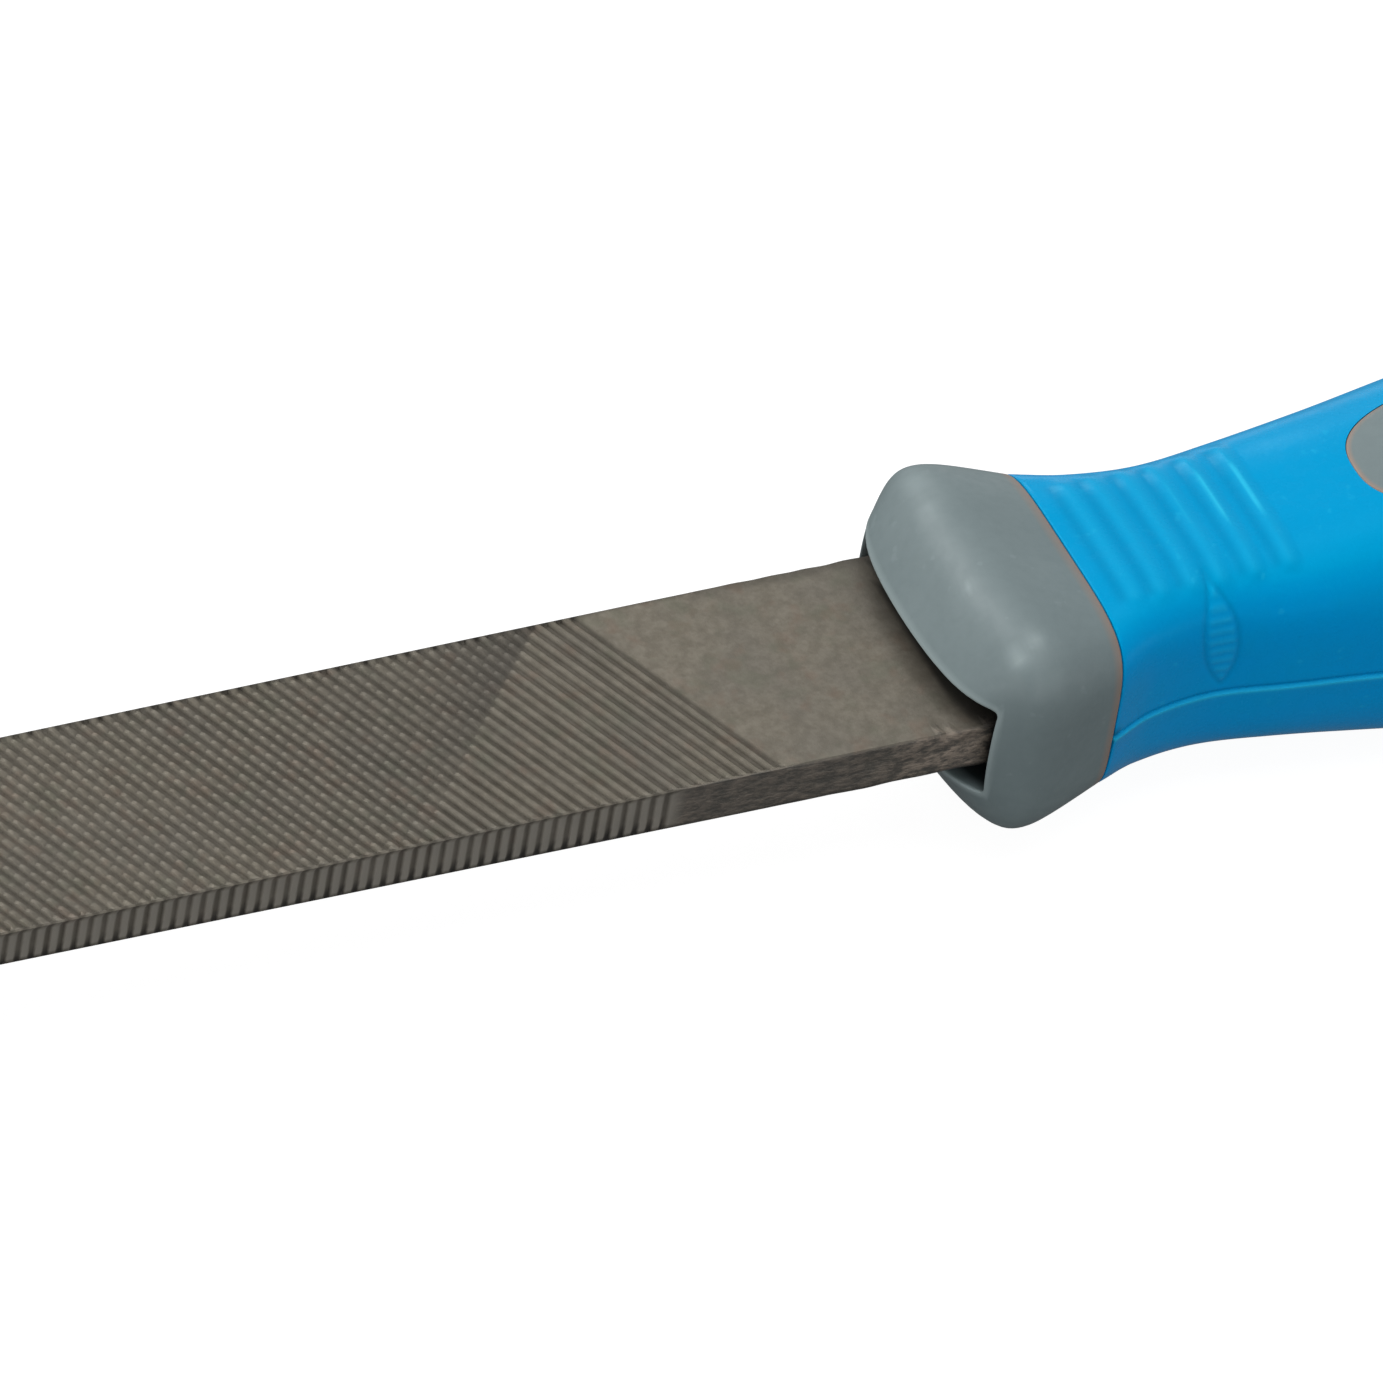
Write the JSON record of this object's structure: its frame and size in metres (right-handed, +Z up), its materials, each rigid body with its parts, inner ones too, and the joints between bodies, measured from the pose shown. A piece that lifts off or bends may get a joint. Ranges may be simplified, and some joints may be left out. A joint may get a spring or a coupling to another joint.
{
  "type": "flat file",
  "caption": "Flat hand file: a tapered double-cut steel blade on a tang in a waisted two-colour moulded handle with oval inlays and a hanging hole.",
  "frame": {"origin": "under the middle of the overall length, on the plane that the handle's belly rests on; the file's axis is 12.4 mm above it", "axes": "+X along the file from the tip to the handle's butt, +Y across the width, +Z up through the thickness"},
  "size_m": [0.314, 0.0294, 0.0249],
  "materials": {
    "file_steel": "dark satin hardened steel with cut teeth",
    "grey_plastic": "satin moulded grey",
    "core_plastic": "plain moulded dark grey",
    "blue_soft_plastic": "satin soft-touch blue"
  },
  "bodies": {
    "blade": {"file_blade": "file_steel"},
    "handle": {"front_collar": "grey_plastic", "handle_core": "core_plastic", "grip_sleeve": "blue_soft_plastic", "upper_oval_inlay": "grey_plastic", "lower_oval_inlay": "grey_plastic", "end_cap": "grey_plastic"}
  },
  "joints": [
    {"name": "handle_pull_off", "type": "slide", "parent": "blade", "child": "handle", "axis": [1, 0, 0], "range_m": [0, 0.08]}
  ]
}
